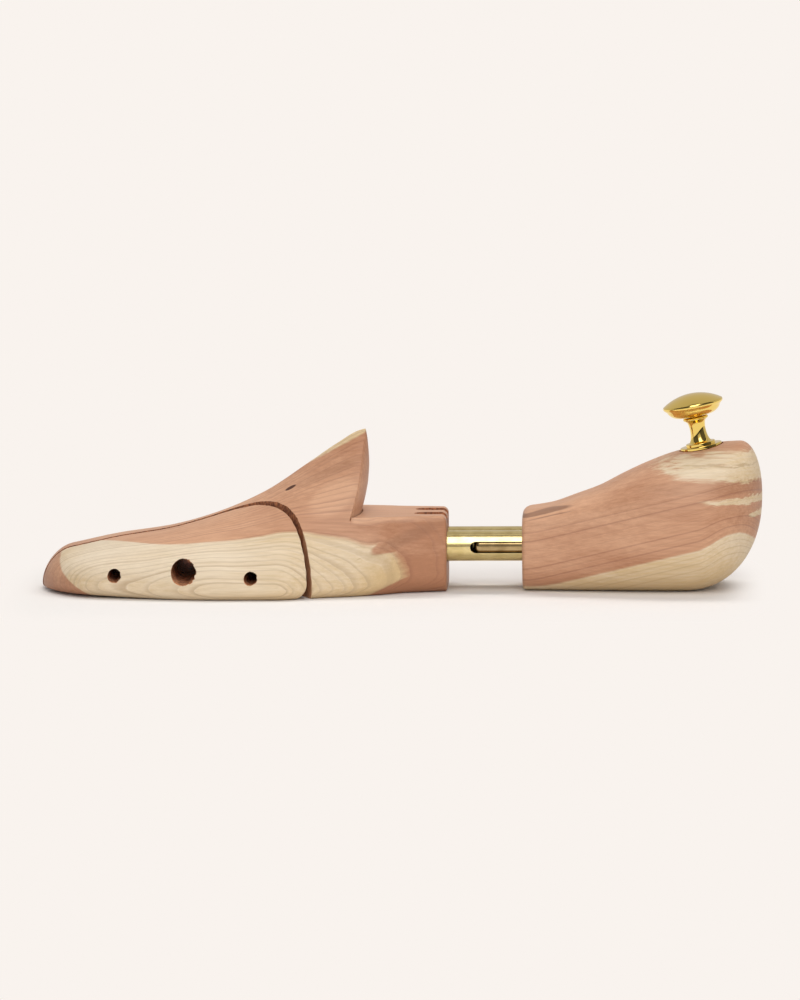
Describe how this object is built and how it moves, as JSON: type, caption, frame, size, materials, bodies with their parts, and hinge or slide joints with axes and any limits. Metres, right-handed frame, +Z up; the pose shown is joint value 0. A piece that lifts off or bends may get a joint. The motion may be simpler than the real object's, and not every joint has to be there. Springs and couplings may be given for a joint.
{
  "type": "shoe tree",
  "caption": "Cedar shoe tree with a sprung split-toe wing, two sprung telescoping brass tubes and a turned brass knob on its heel block.",
  "frame": {"origin": "middle of the underside of the tree's box: on the floor, halfway along the tree and halfway across the forepart", "axes": "+X from the toe to the heel along the tubes, +Z up, -Y towards the outer side of the left foot"},
  "size_m": [0.2852, 0.08, 0.0774],
  "materials": {
    "body_cedar": "sanded, bare aromatic cedar",
    "wing_cedar": "sanded, bare aromatic cedar, mostly sapwood",
    "heel_cedar": "sanded, bare aromatic cedar",
    "outer_tube_brass": "bright drawn tube",
    "inner_tube_brass": "drawn tube",
    "knob_brass": "mirror polished",
    "spring_steel": "bright spring wire",
    "pin_steel": "bright turned",
    "bush_brass": "turned"
  },
  "bodies": {
    "forepart": {"forepart_body": "body_cedar", "outer_tube_lateral": "outer_tube_brass", "outer_tube_medial": "outer_tube_brass", "spring_plug_lateral": "pin_steel", "spring_plug_medial": "pin_steel", "tube_spring_lateral": "spring_steel", "tube_spring_medial": "spring_steel", "guide_bush_front": "bush_brass", "guide_bush_rear": "bush_brass", "wing_spring_front": "spring_steel", "wing_spring_rear": "spring_steel", "forepart_brad_lateral": "pin_steel", "forepart_brad_medial": "pin_steel"},
    "wing": {"toe_wing": "wing_cedar", "guide_pin_front": "pin_steel", "guide_pin_rear": "pin_steel"},
    "heel": {"heel_block": "heel_cedar", "inner_tube_lateral": "inner_tube_brass", "inner_tube_medial": "inner_tube_brass", "stop_pin_lateral": "pin_steel", "stop_pin_medial": "pin_steel", "heel_brad_lateral": "pin_steel", "heel_brad_medial": "pin_steel", "knob": "knob_brass", "knob_screw": "pin_steel"}
  },
  "joints": [
    {"name": "heel_slide", "type": "slide", "parent": "forepart", "child": "heel", "axis": [1, 0, 0], "range_m": [-0.028, 0], "stiffness_N_per_m": 450, "springref_m": 0.03, "deforming": ["tube_spring_lateral", "tube_spring_medial"]},
    {"name": "wing_slide", "type": "slide", "parent": "forepart", "child": "wing", "axis": [0, 1, 0], "range_m": [0, 0.0016], "stiffness_N_per_m": 1500, "springref_m": -0.003, "deforming": ["wing_spring_front", "wing_spring_rear"]}
  ]
}
